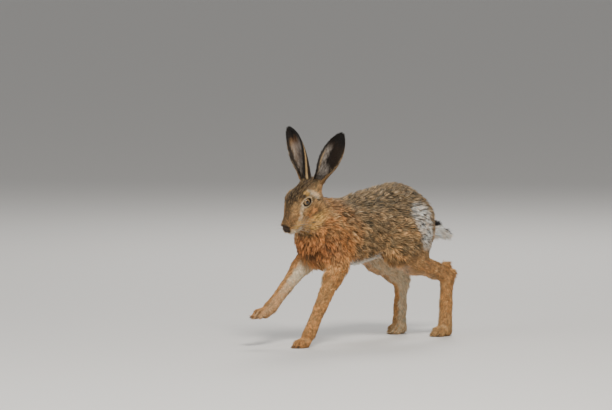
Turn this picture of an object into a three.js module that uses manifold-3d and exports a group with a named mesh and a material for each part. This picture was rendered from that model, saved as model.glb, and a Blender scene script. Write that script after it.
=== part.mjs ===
// A life-size brown hare in mid walk: three feet on the ground, the right forepaw reaching forward.
// Millimetres. +X runs forward, +Y to the hare's left, +Z up, and the soles stand at z = 0.
// The body is one distance field, out to the tips of the coat. A surface net gives each part of it
// its own mesh, and planes part the meshes from one another.
import * as THREE from "three";
import { mergeVertices } from "three/addons/utils/BufferGeometryUtils.js";
import Module from "manifold-3d";

const wasm = await Module();
wasm.setup();

// Driving sizes
const SEAM = 0.3; // gap between parts that touch
const WELD = 0.06; // edges shorter than this are closed up
const WITHERS = 252; // height of the back over the shoulders
const CROUP = 279; // highest point of the back, over the hips
const CHEST_HALF = 50; // half width of the rib cage with its coat
const HIP_HALF = 56; // half width of the rump with its coat
const EYE_RADIUS = 8.6;
const HEAD_PITCH = 37; // degrees that the nose points down
const HEAD_PLACE = [136.5, 0, 250]; // middle of the skull, level with the eyes
const CHEST_END = -14; // x of the cut behind the ribs
const LOIN_END = -84; // x of the cut in front of the hips

// The skeleton: the place of each joint
const SIDES = { left: 1, right: -1 };
const JOINT = {
  left: {
    shoulder: [96, 31, 197],
    elbow: [83, 37, 141],
    wrist: [150, 34, 25],
    knuckle: [162, 33, 8.6],
    fingers: [184, 33, 3.4],
    hip: [-112, 30, 214],
    knee: [-60, 48, 156],
    hock: [-188, 48, 107],
    heel: [-199, 48, 114],
    ball: [-184, 47, 11.6],
    toes: [-158, 46, 4.2],
  },
  right: {
    shoulder: [80, -30, 194],
    elbow: [84, -35, 154],
    wrist: [182, -31, 70],
    knuckle: [196, -30, 62],
    fingers: [226, -30, 55],
    hip: [-108, -30, 212],
    knee: [-74, -47, 160],
    hock: [-166, -46, 92],
    heel: [-176, -46, 100],
    ball: [-160, -45, 11.6],
    toes: [-141, -44, 4.2],
  },
};
const TAIL = { root: [-150, 0, 199], middle: [-202, 0, 190], tip: [-237, 0, 178] };

// Places on the left of the head, in the head's own frame: x along the muzzle, z out of the crown
const EYE = [1.5, 17.6, 12];
const EYE_OPENING = { wide: 15, high: 11.5, points: 14, gaze: [0.25, 0.96, 0.1] };
const NOSTRIL = { place: [56, 4.4, -4.5], size: [2.6, 3, 1.2], slant: 40 };
const MOUTH = { x: 29, z: -19, corner: 76, deep: 2, high: 0.9, steps: 14 }; // corner: half its angle
const EAR_ROOT = [-48.5, 15.5, 19];

// The ears. Each has its own length, way it points (given as on the left), degrees from straight
// ahead to where its cup faces, and sideways bow of its middle.
const EARS = {
  left: { length: 98.5, way: [-0.039, 0.519, 0.854], turnedOut: 22, bow: 3 },
  right: { length: 107.5, way: [-0.022, 0.536, 0.844], turnedOut: 4, bow: -10 },
};

// Along an ear, from root to tip: share of the length, half the width measured round the curve,
// and half the curve's angle in degrees. It starts as a tube and opens to a cup.
const EAR = {
  thickness: [3.2, 1.8], // at the root and at the tip
  rows: 12,
  columns: 8,
  profile: [
    [0, 23, 150],
    [0.2, 24.5, 114],
    [0.42, 27, 82],
    [0.64, 23.5, 62],
    [0.8, 18, 50],
    [0.92, 11, 42],
    [1, 3, 30],
  ],
};

// Cells of the surface nets, finest where the forms are smallest: along, across and up for the
// trunk, head and feet, and across, across and along for the lengths of the limbs
const CELL = {
  head: [5.8, 5.3, 5.3],
  neck: [11, 10, 10],
  trunk: [14, 11, 11],
  tail: [9, 7.4, 7.4],
  thigh: [11, 10, 11],
  shin: [7.4, 7.4, 13],
  foreleg: [7, 7, 13],
  shank: [6.4, 6.4, 13],
  paw: [5.2, 4.7, 4.5],
};

// Vectors as plain arrays
const add = (a, b) => [a[0] + b[0], a[1] + b[1], a[2] + b[2]];
const sub = (a, b) => [a[0] - b[0], a[1] - b[1], a[2] - b[2]];
const scale = (a, s) => [a[0] * s, a[1] * s, a[2] * s];
const dot = (a, b) => a[0] * b[0] + a[1] * b[1] + a[2] * b[2];
const cross = (a, b) => [a[1] * b[2] - a[2] * b[1], a[2] * b[0] - a[0] * b[2], a[0] * b[1] - a[1] * b[0]];
const unit = (a) => scale(a, 1 / Math.hypot(...a));
const mix = (a, b, t) => add(scale(a, 1 - t), scale(b, t));
const mirrored = (a, side) => [a[0], a[1] * side, a[2]];
const radians = (degrees) => (degrees * Math.PI) / 180;

// Distance fields. Each form is a function of x, y and z that is negative inside.

// A limb length: a ball of radius ra at a, one of rb at b, and the cone that wraps both.
function limb(a, b, ra, rb) {
  const along = sub(b, a);
  const l2 = dot(along, along);
  const rr = ra - rb;
  const a2 = l2 - rr * rr;
  return (x, y, z) => {
    const p = [x - a[0], y - a[1], z - a[2]];
    const h = dot(p, along);
    const beyond = h - l2;
    const off = sub(scale(p, l2), scale(along, h));
    const x2 = dot(off, off);
    const y2 = h * h * l2;
    const z2 = beyond * beyond * l2;
    const k = Math.sign(rr) * rr * rr * x2;
    if (Math.sign(beyond) * a2 * z2 > k) return Math.sqrt(x2 + z2) / l2 - rb;
    if (Math.sign(h) * a2 * y2 < k) return Math.sqrt(x2 + y2) / l2 - ra;
    return (Math.sqrt((x2 * a2) / l2) + h * rr) / l2 - ra;
  };
}

// An egg: half sizes along its own axes, its front turned down by pitch and left by yaw, in degrees.
function egg(centre, sizes, pitch = 0, yaw = 0) {
  const turn = new THREE.Euler(0, radians(pitch), radians(yaw), "ZYX");
  const e = new THREE.Matrix4().makeRotationFromEuler(turn).elements;
  const axes = [e.slice(0, 3), e.slice(4, 7), e.slice(8, 11)];
  return (x, y, z) => {
    const p = [x - centre[0], y - centre[1], z - centre[2]];
    let near = 0;
    let slope = 0;
    for (let i = 0; i < 3; i++) {
      const share = dot(p, axes[i]) / sizes[i];
      near += share * share;
      slope += (share * share) / (sizes[i] * sizes[i]);
    }
    return slope > 0 ? (Math.sqrt(near) * (Math.sqrt(near) - 1)) / Math.sqrt(slope) : -Math.min(...sizes);
  };
}

// Joins two distances with a fillet of size k.
function soft(d1, d2, k) {
  const h = Math.max(k - Math.abs(d1 - d2), 0) / k;
  return Math.min(d1, d2) - h * h * k * 0.25;
}

// Joins a list of [form, fillet] pairs.
function body(forms) {
  return (x, y, z) => forms.reduce((d, [form, k]) => soft(d, form(x, y, z), k), 1e9);
}

// The head's own frame
const headFrame = new THREE.Matrix4().makeRotationY(radians(HEAD_PITCH)).setPosition(...HEAD_PLACE);
const headInverse = headFrame.clone().invert();
const onHead = (p) => new THREE.Vector3(...p).applyMatrix4(headFrame).toArray();
const headWay = (p) => new THREE.Vector3(...p).transformDirection(headFrame).toArray();

function headForms() {
  const forms = [
    [egg([-19, 0, 6], [34, 24, 25]), 1], // skull
    [egg([3, 0, 11], [29, 21, 19], 8), 10], // forehead
    [limb([6, 0, 1], [41, 0, -7.5], 23.5, 15), 10], // muzzle
    [egg([47.5, 0, -7], [11.5, 10, 11], 12), 6], // nose
    [limb([-14, 0, -15], [31, 0, -20], 18, 9), 9], // jaw
    [egg([34, 0, -24.5], [11, 7, 6], 4), 5], // chin
  ];
  for (const side of Object.values(SIDES)) {
    const lid = [EYE_RADIUS + 2.8, EYE_RADIUS + 1.9, EYE_RADIUS + 2.2];
    forms.push([egg([-9, side * 13, -8], [24, 12.5, 20], 10), 9]); // cheek
    forms.push([egg([43, side * 6.2, -14.5], [12.5, 8, 8.5], 12), 5]); // lip
    forms.push([egg([0, side * 18.5, 22], [14, 6, 4.5], 6, side * -6), 6]); // brow
    forms.push([egg(mirrored(EYE, side), lid), 4]); // lids
    forms.push([limb([-32, side * 11, 12], mirrored(EAR_ROOT, side), 13, 10.5), 6]); // ear muscle
  }
  return forms;
}

function trunkForms() {
  return [
    [egg([22, 0, 196], [98, CHEST_HALF, 60], 2), 1], // rib cage
    [egg([82, 0, 182], [44, 40, 48], 14), 22], // breast
    [egg([-52, 0, 214], [84, CHEST_HALF - 3, 57], -5), 30], // loin
    [egg([-98, 0, 217], [64, HIP_HALF, CROUP - 217], -3), 26], // rump
    [limb([54, 0, WITHERS - 45], [110, 0, 240], 43, 30), 26], // neck
    [limb([74, 0, 194], [107, 0, 221], 35, 24), 16], // throat
  ];
}

function limbForms(name) {
  const j = JOINT[name];
  const side = SIDES[name];
  const calf = mix(j.knee, j.hock, 0.32);
  const shank = mix(j.knee, j.hock, 0.72);
  const brawn = mix(j.elbow, j.wrist, 0.18);
  const slim = mix(j.elbow, j.wrist, 0.62);
  return [
    [limb(add(j.shoulder, [4, -side * 6, 22]), j.shoulder, 22, 27), 18], // shoulder blade
    [limb(j.shoulder, j.elbow, 25, 18), 14], // upper arm
    [limb(add(j.elbow, [-8, 0, 4]), brawn, 14.5, 16.5), 12], // elbow
    [limb(brawn, slim, 16.5, 11), 8],
    [limb(slim, j.wrist, 11, 11.5), 6],
    [limb(j.hip, mix(j.hip, j.knee, 0.75), 42, 33), 18], // thigh
    [limb(mix(j.hip, j.knee, 0.7), j.knee, 33, 23), 14],
    [limb(add(j.hip, [-10, side * 6, -26]), mix(j.knee, j.hock, 0.36), 29, 19), 16], // ham
    [limb(j.knee, calf, 23, 21), 12],
    [limb(calf, shank, 21, 14), 12],
    [limb(shank, j.hock, 14, 12.5), 8],
    [limb(mix(j.knee, j.heel, 0.6), j.heel, 11, 8.5), 6], // heel cord
    [limb(j.hock, j.heel, 12, 9), 6],
    [limb(j.hock, mix(j.hock, j.ball, 0.55), 12.5, 11), 6], // long foot
    [limb(mix(j.hock, j.ball, 0.5), j.ball, 11, 13.5), 6],
  ];
}

// Four toes side by side, the middle ones longest: the start, knuckle and end of each.
function toeLines(root, tips, spread, side) {
  const across = unit(cross([0, 0, 1], sub(tips, root)));
  const reach = [0.74, 1, 0.97, 0.7];
  return reach.map((share, i) => {
    const shift = (i / (reach.length - 1) - 0.5) * spread * side;
    const start = add(mix(root, tips, 0.1), scale(across, shift * 0.62));
    const end = add(mix(root, tips, share), scale(across, shift));
    return { start, knuckle: add(mix(start, end, 0.55), [0, 0, 2.2]), end: [end[0], end[1], tips[2]] };
  });
}

const PAW = { spread: 17, radius: 5.6, claw: 4.5 };
const FOOT = { spread: 20, radius: 6.6, claw: 5.5 };

function toeForms(root, tips, { spread, radius }, side) {
  return toeLines(root, tips, spread, side).flatMap(({ start, knuckle, end }) => [
    [limb(start, knuckle, radius * 1.1, radius), 6],
    [limb(knuckle, end, radius, radius * 0.82), 4],
  ]);
}

function toesOf(name) {
  const j = JOINT[name];
  return [
    [limb(j.wrist, j.knuckle, 11, 10.5), 5],
    ...toeForms(j.knuckle, j.fingers, PAW, SIDES[name]),
    ...toeForms(j.ball, j.toes, FOOT, SIDES[name]),
  ];
}

const headField = body(headForms());
const trunkField = body([...trunkForms(), ...limbForms("left"), ...limbForms("right")]);
const toesField = body([...toesOf("left"), ...toesOf("right")]);
const tailField = body([
  [limb(TAIL.root, TAIL.middle, 12, 14.5), 8],
  [limb(TAIL.middle, TAIL.tip, 14.5, 8.5), 8],
]);
const TOES_TOP = 100; // above this height there are no toes

// The whole hare but for its ears and eyes
function whole(x, y, z) {
  let d = trunkField(x, y, z);
  d = soft(d, headField(...new THREE.Vector3(x, y, z).applyMatrix4(headInverse)), 10);
  if (z < TOES_TOP) d = soft(d, toesField(x, y, z), 4);
  return soft(d, tailField(x, y, z), 6);
}

// Solids

// A closed mesh as a solid that can be cut and joined.
function solid(geometry) {
  const places = new THREE.BufferGeometry().setAttribute("position", geometry.getAttribute("position"));
  if (geometry.index) places.setIndex(geometry.index);
  const merged = mergeVertices(places, 1e-4);
  return solidOf(merged.attributes.position.array, merged.index.array);
}

function solidOf(vertProperties, triVerts) {
  const mesh = { numProp: 3, triVerts: new Uint32Array(triVerts) };
  mesh.vertProperties = new Float32Array(vertProperties);
  return new wasm.Manifold(new wasm.Mesh(mesh));
}

// A solid's mesh, in which the ends of every edge shorter than WELD are one vertex.
function geometryOf(shape) {
  const { numVert, numProp, vertProperties, triVerts } = shape.getMesh();
  const placeOf = (v) => vertProperties.subarray(v * numProp, v * numProp + 3);
  const kept = Array.from({ length: numVert }, (_, v) => v);
  const keeper = (v) => (kept[v] === v ? v : keeper(kept[v]));
  for (let i = 0; i < triVerts.length; i++) {
    const [a, b] = [triVerts[i], triVerts[i % 3 === 2 ? i - 2 : i + 1]];
    if (Math.hypot(...sub(placeOf(a), placeOf(b))) < WELD) kept[keeper(a)] = keeper(b);
  }
  const places = [];
  for (let i = 0; i < triVerts.length; i += 3) {
    const corners = [0, 1, 2].map((c) => keeper(triVerts[i + c]));
    if (new Set(corners).size === 3) corners.forEach((v) => places.push(...placeOf(v)));
  }
  return new THREE.BufferGeometry().setAttribute("position", new THREE.Float32BufferAttribute(places, 3));
}

// The largest closed surface of a solid
function largest(shape) {
  return shape.decompose().reduce((best, piece) => (piece.volume() > best.volume() ? piece : best));
}

function slopeOf(field, [x, y, z], step) {
  return [
    field(x + step, y, z) - field(x - step, y, z),
    field(x, y + step, z) - field(x, y - step, z),
    field(x, y, z + step) - field(x, y, z - step),
  ].map((d) => d / (2 * step));
}

// Moves a place onto the surface of a field, by small steps down the slope.
function ontoSurface(field, place, cell) {
  let p = place;
  for (let turn = 0; turn < 3; turn++) {
    const slope = slopeOf(field, p, cell * 0.1);
    const steep = dot(slope, slope);
    if (steep < 1e-6) break;
    const move = scale(slope, -field(...p) / steep);
    p = add(p, scale(move, Math.min(1, (0.3 * cell) / (Math.hypot(...move) + 1e-9))));
  }
  return p;
}

// The surface net of a field inside a box: one vertex for each cell that the surface crosses, and
// one quad for each edge that it crosses. The box and its cells may stand in a frame of their own.
function net(field, low, high, cell, frame = new THREE.Matrix4()) {
  const out = (x, y, z) => new THREE.Vector3(x, y, z).applyMatrix4(frame).toArray();
  const boxed = (x, y, z) => {
    const past = Math.max(low[0] - x, x - high[0], low[1] - y, y - high[1], low[2] - z, z - high[2]);
    return past > 0 ? past : Math.max(field(...out(x, y, z)), past);
  };
  const start = low.map((v, axis) => v - 1.5 * cell[axis]);
  const count = high.map((v, axis) => Math.ceil((v - low[axis]) / cell[axis]) + 4);
  const steps = [1, count[0], count[0] * count[1]];
  const values = new Float32Array(steps[2] * count[2]);
  const everyCell = (margin, act) => {
    for (let k = margin; k < count[2] - 1; k++) {
      for (let j = margin; j < count[1] - 1; j++) {
        for (let i = margin; i < count[0] - 1; i++) act([i, j, k], i + j * steps[1] + k * steps[2]);
      }
    }
  };
  const placeOf = (at) => at.map((c, axis) => start[axis] + c * cell[axis]);
  for (let n = 0; n < values.length; n++) {
    const at = [n % count[0], Math.floor(n / steps[1]) % count[1], Math.floor(n / steps[2])];
    values[n] = boxed(...placeOf(at));
  }

  const corners = [0, 1, 2, 3, 4, 5, 6, 7].map((c) => [c & 1, (c >> 1) & 1, c >> 2]);
  const onward = (a) => [1, 2, 4].filter((bit) => !(a & bit)).map((bit) => [a, a | bit]);
  const edges = corners.flatMap((_, a) => onward(a));
  const vertexOf = new Map();
  const points = [];
  everyCell(0, (at, here) => {
    const v = corners.map((c) => values[here + dot(c, steps)]);
    const crossed = edges.filter(([a, b]) => v[a] < 0 !== v[b] < 0);
    if (crossed.length === 0) return;
    const crossing = ([a, b]) => mix(corners[a], corners[b], v[a] / (v[a] - v[b]));
    const sum = crossed.map(crossing).reduce(add, [0, 0, 0]);
    const place = placeOf(add(at, scale(sum, 1 / crossed.length)));
    vertexOf.set(here, points.length);
    points.push(out(...ontoSurface(boxed, place, Math.min(...cell))));
  });

  const faces = [];
  everyCell(1, (at, here) => {
    for (let axis = 0; axis < 3; axis++) {
      const inside = values[here] < 0;
      if (inside === values[here + steps[axis]] < 0) continue;
      const du = steps[(axis + 1) % 3];
      const dv = steps[(axis + 2) % 3];
      const ring = [here, here - du, here - du - dv, here - dv].map((c) => vertexOf.get(c));
      if (!inside) ring.reverse();
      const [a, b, c, d] = ring;
      const shorter = Math.hypot(...sub(points[a], points[c])) < Math.hypot(...sub(points[b], points[d]));
      faces.push(...(shorter ? [a, b, c, a, c, d] : [b, c, d, b, d, a]));
    }
  });
  return solidOf(points.flat(), faces);
}

// Cuts. A cut is a plane through a place, and its way points out of the part that it bounds.
const BIG = 1200;
const everywhere = solid(new THREE.BoxGeometry(BIG, BIG, BIG));
const cut = (place, way) => ({ way: unit(way), far: dot(place, unit(way)) });
const back = ({ way, far }) => ({ way: scale(way, -1), far: -far });

// Keeps what lies on the inner side of every cut, moved out by a gap that may be negative.
function trimmed(shape, cuts, gap) {
  return cuts.reduce((rest, { way, far }) => rest.trimByPlane(scale(way, -1), -(far + gap)), shape);
}

// One part: its net trimmed by its own cuts, less the room of the parts that grow from it.
function part(shape, cuts, others = []) {
  const own = trimmed(shape, cuts, -SEAM / 2);
  const without = (rest, other) => rest.subtract(trimmed(everywhere, other, SEAM / 2));
  return largest(others.reduce(without, own));
}

const CUTS = {
  head: [cut([88, 0, 262], [-0.944, 0, -0.331]), cut(onHead([-14, 0, -37]), headWay([0.06, 0, -1]))],
  neck: cut([80, 0, 212], [-0.66, 0, -0.75]),
  chest: cut([CHEST_END, 0, 0], [-1, 0, 0]),
  loin: cut([LOIN_END, 0, 0], [-1, 0, 0]),
  tail: [cut([-168, 0, 204], [0.96, 0, 0.28])],
  floor: cut([0, 0, -SEAM / 2], [0, 0, -1]),
};

const LEG_DEPTH = 36; // from a foreleg's middle line to the cuts before and behind it

function limbCuts(name) {
  const j = JOINT[name];
  const side = SIDES[name];
  const inner = cut([0, side * 8, 0], [0, -side, 0]);
  const upArm = unit(sub(j.elbow, j.wrist));
  const ahead = unit(cross(upArm, [0, -1, 0]));
  const upShin = unit(sub(j.knee, j.hock));
  return {
    foreleg: [
      inner,
      cut([0, side * 15, j.elbow[2] - 4], [0, -0.75 * side, 0.66]),
      cut(add(j.elbow, scale(ahead, LEG_DEPTH)), ahead),
      cut(add(j.elbow, scale(ahead, -LEG_DEPTH)), scale(ahead, -1)),
    ],
    forepaw: [cut(add(j.wrist, scale(upArm, 5)), upArm)],
    thigh: [
      inner,
      cut([0, side * 14, j.knee[2] - 2], [0, -0.8 * side, 0.6]),
      cut(add(j.knee, [28, 0, 13]), [0.75, 0, 0.66]),
    ],
    shin: [
      cut(mix(j.knee, j.hock, 0.36), upShin),
      cut(add(mix(j.knee, j.hock, 0.5), [0, 0, 18]), [0, 0, 1]),
    ],
    foot: [cut(mix(j.knee, j.hock, 0.85), upShin)],
    toes: [cut(add(j.ball, [0, 0, 14]), [-0.3, 0, 1])],
  };
}

// The box round some places, wider by a margin on every side
const around = (places, margin) => [
  [0, 1, 2].map((axis) => Math.min(...places.map((p) => p[axis])) - margin),
  [0, 1, 2].map((axis) => Math.max(...places.map((p) => p[axis])) + margin),
];

// The net of a limb's length from a to b, whose cells stand along it
function limbNet(a, b, radius, ends, cell) {
  const [from, to, up] = [b, a, [0, 1, 0]].map((p) => new THREE.Vector3(...p));
  const frame = new THREE.Matrix4().lookAt(from, to, up).setPosition(to);
  const length = from.distanceTo(to);
  return net(whole, [-radius, -radius, -ends], [radius, radius, length + ends], cell, frame);
}

// Claws, one from the end of each toe
function claws(root, tips, { spread, radius, claw }, side) {
  const ahead = unit(sub(tips, root));
  const lines = toeLines(root, tips, spread, side);
  return lines.map(({ end }) => {
    const from = add(end, [ahead[0] * radius * 0.4, 0, 1.5]);
    const long = claw + radius * 0.42;
    const cone = new THREE.ConeGeometry(1.9, long, 6).translate(0, long / 2, 0);
    const way = new THREE.Vector3(...ahead);
    cone.applyQuaternion(new THREE.Quaternion().setFromUnitVectors(new THREE.Vector3(0, 1, 0), way));
    return solid(cone.translate(...from));
  });
}

const withClaws = (toes, made) => largest(made.reduce((all, claw) => all.add(claw), toes));

// The parts of one side's legs
function legParts(name) {
  const j = JOINT[name];
  const cuts = limbCuts(name);
  const side = SIDES[name];
  const aboveElbow = add(j.elbow, scale(unit(sub(j.elbow, j.wrist)), 30));
  const [low, high] = around([j.hip, j.knee], 64);
  low[2] = j.knee[2] - 54;
  if (side > 0) low[1] = -6;
  else high[1] = 6;
  const pawNet = net(whole, ...around([j.wrist, j.fingers], 22), CELL.paw);
  const forepaw = part(pawNet, [...cuts.forepaw, CUTS.floor]);
  const toesNet = net(whole, ...around([j.ball, j.toes], 25), CELL.paw);
  const toes = part(toesNet, [...cuts.toes, CUTS.floor]);
  const forelegNet = limbNet(j.wrist, aboveElbow, LEG_DEPTH + 20, 24, CELL.foreleg);
  return {
    foreleg: part(forelegNet, cuts.foreleg, [cuts.forepaw]),
    forepaw: withClaws(forepaw, claws(j.knuckle, j.fingers, PAW, side)),
    thigh: part(net(whole, low, high, CELL.thigh), cuts.thigh, [cuts.shin, CUTS.tail]),
    shin: part(limbNet(j.hock, j.knee, 42, 26, CELL.shin), cuts.shin, [cuts.foot]),
    foot: part(limbNet(j.ball, j.hock, 27, 27, CELL.shank), cuts.foot, [cuts.toes]),
    toes: withClaws(toes, claws(j.ball, j.toes, FOOT, side)),
  };
}

// The head

// The hollow that an eye sits in, and the almond opening between its lids
function eyeCut(side) {
  const place = onHead(mirrored(EYE, side));
  const hollow = new THREE.IcosahedronGeometry(EYE_RADIUS + 1.5 * SEAM, 3).translate(...place);
  const almond = new THREE.Shape();
  const { wide, high, points } = EYE_OPENING;
  for (let i = 0; i < points; i++) {
    const a = (i / points) * 2 * Math.PI;
    const rise = Math.sign(Math.sin(a)) * Math.abs(Math.sin(a)) ** 1.3;
    if (i === 0) almond.moveTo(wide / 2, 0);
    else almond.lineTo((wide / 2) * Math.cos(a), (high / 2) * rise);
  }
  const tunnel = new THREE.ExtrudeGeometry(almond, { depth: 3 * EYE_RADIUS, bevelEnabled: false });
  const gaze = new THREE.Vector3(...headWay(mirrored(EYE_OPENING.gaze, side)));
  const ahead = new THREE.Vector3(...headWay([1, 0, 0])).projectOnPlane(gaze).normalize();
  const up = gaze.clone().cross(ahead);
  tunnel.applyMatrix4(new THREE.Matrix4().makeBasis(ahead, up, gaze).setPosition(...place));
  return solid(hollow).add(solid(tunnel));
}

// A slanting nostril
function nostrilCut(side) {
  const slit = new THREE.SphereGeometry(1, 10, 6).scale(...NOSTRIL.size);
  slit.rotateX(radians(NOSTRIL.slant * side)).rotateZ(radians(-20 * side));
  return solid(slit.translate(...mirrored(NOSTRIL.place, side)).applyMatrix4(headFrame));
}

// The mouth line, a groove that follows the skin from one corner to the other, and the cleft in
// the upper lip above it
function mouthCut() {
  const { x, z, corner, deep, high, steps } = MOUTH;
  const reach = (a) => {
    let r = 0;
    while (headField(x + r * Math.cos(a), r * Math.sin(a), z) < 0) r += 0.2;
    return r;
  };
  const arc = (extra) =>
    Array.from({ length: steps + 1 }, (_, i) => {
      const a = radians(corner * ((2 * i) / steps - 1));
      const r = reach(a) + extra;
      return new THREE.Vector2(x + r * Math.cos(a), r * Math.sin(a));
    });
  const band = new THREE.Shape([...arc(-deep), ...arc(3 * deep).reverse()]);
  const groove = new THREE.ExtrudeGeometry(band, { depth: high, bevelEnabled: false });
  groove.translate(0, 0, z - high / 2);
  const cleft = new THREE.BoxGeometry(12, high, 9).translate(x + reach(0) + 6 - deep, 0, z + 4.5);
  return solid(groove.applyMatrix4(headFrame)).add(solid(cleft.applyMatrix4(headFrame)));
}

function headPart() {
  const places = [[-62, 0, 10], [70, 0, 0], [-36, 0, 50], [0, 0, -46], [56, 0, -42]].map(onHead);
  const [low, high] = around(places, 3);
  low[1] = -44;
  high[1] = 44;
  let head = part(net(whole, low, high, CELL.head), [...CUTS.head, earCut("left"), earCut("right")]);
  for (const side of Object.values(SIDES)) head = head.subtract(eyeCut(side)).subtract(nostrilCut(side));
  return largest(head.subtract(mouthCut()));
}

// The ears

const earCut = (name) => {
  const side = SIDES[name];
  return cut(onHead(mirrored(EAR_ROOT, side)), mirrored(EARS[name].way, side));
};

// Skins rings of points into a closed solid. Each ring runs out along one face and back along the
// other, and both faces are split into triangles alike.
function loft(rings) {
  const n = rings[0].length;
  const faces = [];
  const quad = (a, b, c, d, turned) => faces.push(...(turned ? [a, b, d, b, c, d] : [a, b, c, a, c, d]));
  for (let row = 0; row + 1 < rings.length; row++) {
    for (let i = 0; i < n; i++) {
      const next = (i + 1) % n;
      quad(row * n + i, row * n + next, (row + 1) * n + next, (row + 1) * n + i, i >= n / 2);
    }
  }
  const top = (rings.length - 1) * n;
  for (let i = 0; i + 1 < n / 2; i++) {
    quad(i, n - 1 - i, n - 2 - i, i + 1, false);
    quad(top + i, top + i + 1, top + n - 2 - i, top + n - 1 - i, false);
  }
  return solidOf(rings.flat(2), faces);
}

function earPart(name) {
  const ear = EARS[name];
  const side = SIDES[name];
  const root = onHead(EAR_ROOT);
  const way = unit(ear.way);
  const ahead = [Math.cos(radians(ear.turnedOut)), Math.sin(radians(ear.turnedOut)), 0];
  const open = unit(sub(ahead, scale(way, dot(ahead, way))));
  const across = cross(way, open);
  const shape = new THREE.CatmullRomCurve3(EAR.profile.map((row) => new THREE.Vector3(...row)));
  const rootWidth = EAR.profile[0][1] / radians(EAR.profile[0][2]);
  const spine = (t) => {
    const along = add(sub(root, scale(open, rootWidth)), scale(way, ear.length * t));
    return add(along, scale(across, ear.bow * 4 * t * (1 - t)));
  };
  const rings = [];
  for (let row = 0; row < EAR.rows; row++) {
    const { x: share, y: halfWidth, z: halfAngle } = shape.getPoint(row / (EAR.rows - 1));
    const t = share === 0 ? -0.06 : share;
    const radius = halfWidth / radians(halfAngle);
    const wall = EAR.thickness[0] + (EAR.thickness[1] - EAR.thickness[0]) * share;
    const face = (extra) =>
      Array.from({ length: EAR.columns + 1 }, (_, i) => {
        const a = radians(halfAngle) * ((2 * i) / EAR.columns - 1);
        const r = radius + extra;
        const out = add(scale(across, r * Math.sin(a)), scale(open, radius - r * Math.cos(a)));
        return mirrored(add(spine(t), out), side);
      });
    const ring = [...face(wall / 2), ...face(-wall / 2).reverse()];
    rings.push(side > 0 ? ring.reverse() : ring);
  }
  return trimmed(loft(rings), [back(earCut(name))], -SEAM / 2);
}

// The hare

const ABOVE = 300; // over the trunk
const BELOW = 108; // under the trunk
const SPARE = 20; // how far a net of the trunk runs past its cuts

function hareParts() {
  const legs = { left: legParts("left"), right: legParts("right") };
  const roomOf = (name) => [limbCuts(name).foreleg, limbCuts(name).thigh];
  const legRoom = Object.keys(SIDES).flatMap(roomOf);
  const trunkNet = (from, to) => net(whole, [from, -76, BELOW], [to, 76, ABOVE], CELL.trunk);
  const neckNet = net(whole, [2, -66, 140], [160, 66, ABOVE], CELL.neck);
  const parts = {
    head: headPart(),
    neck: part(neckNet, [CUTS.neck], [CUTS.head, ...legRoom]),
    chest: part(trunkNet(CHEST_END - SPARE, 150), [CUTS.chest, back(CUTS.neck)], legRoom),
    loin: part(trunkNet(LOIN_END - SPARE, CHEST_END + SPARE), [CUTS.loin, back(CUTS.chest)], legRoom),
    rump: part(trunkNet(-215, LOIN_END + SPARE), [back(CUTS.loin)], [...legRoom, CUTS.tail]),
    tail: part(net(whole, [-270, -32, 140], [-140, 32, 245], CELL.tail), CUTS.tail),
  };
  for (const name of Object.keys(SIDES)) {
    parts[`ear_${name}`] = earPart(name);
    for (const [piece, shape] of Object.entries(legs[name])) parts[`${piece}_${name}`] = shape;
  }
  return parts;
}

const finish = (color, roughness) => new THREE.MeshStandardMaterial({ color, roughness, metalness: 0 });
const FINISH = {
  back: finish(0x6e5a42, 0.95),
  face: finish(0x9a7448, 0.95),
  chest: finish(0xa86b36, 0.95),
  leg: finish(0xb98a5a, 0.95),
  ear: finish(0x3a2f28, 0.95),
  tail: finish(0xd8d2c6, 0.95),
  eye: finish(0x6b3d12, 0.08),
};
const FINISH_OF = { head: "face", neck: "chest", tail: "tail", ear: "ear", foreleg: "leg", forepaw: "leg" };
Object.assign(FINISH_OF, { shin: "leg", foot: "leg", toes: "leg" });

const hare = new THREE.Group();
for (const [name, shape] of Object.entries(hareParts())) {
  const mesh = new THREE.Mesh(geometryOf(shape), FINISH[FINISH_OF[name.split("_")[0]] ?? "back"]);
  mesh.name = name;
  hare.add(mesh);
}
for (const [name, side] of Object.entries(SIDES)) {
  const eye = new THREE.Mesh(new THREE.IcosahedronGeometry(EYE_RADIUS, 2), FINISH.eye);
  eye.name = `eye_${name}`;
  eye.position.set(...onHead(mirrored(EYE, side)));
  hare.add(eye);
}

// The origin stands on the floor under the middle of the hare's length and width
const box = new THREE.Box3().setFromObject(hare);
hare.position.set(-(box.min.x + box.max.x) / 2, -(box.min.y + box.max.y) / 2, -box.min.z);

export default hare;
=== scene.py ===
# A brown hare in mid walk, dressed in skin and coat, on a pale studio floor.
# Sizes of the animal are in millimetres in its own frame, and become metres in the scene.
import math
import bpy
import numpy as np
from mathutils import Matrix, Vector
from mathutils.bvhtree import BVHTree
from mathutils.kdtree import KDTree

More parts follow.
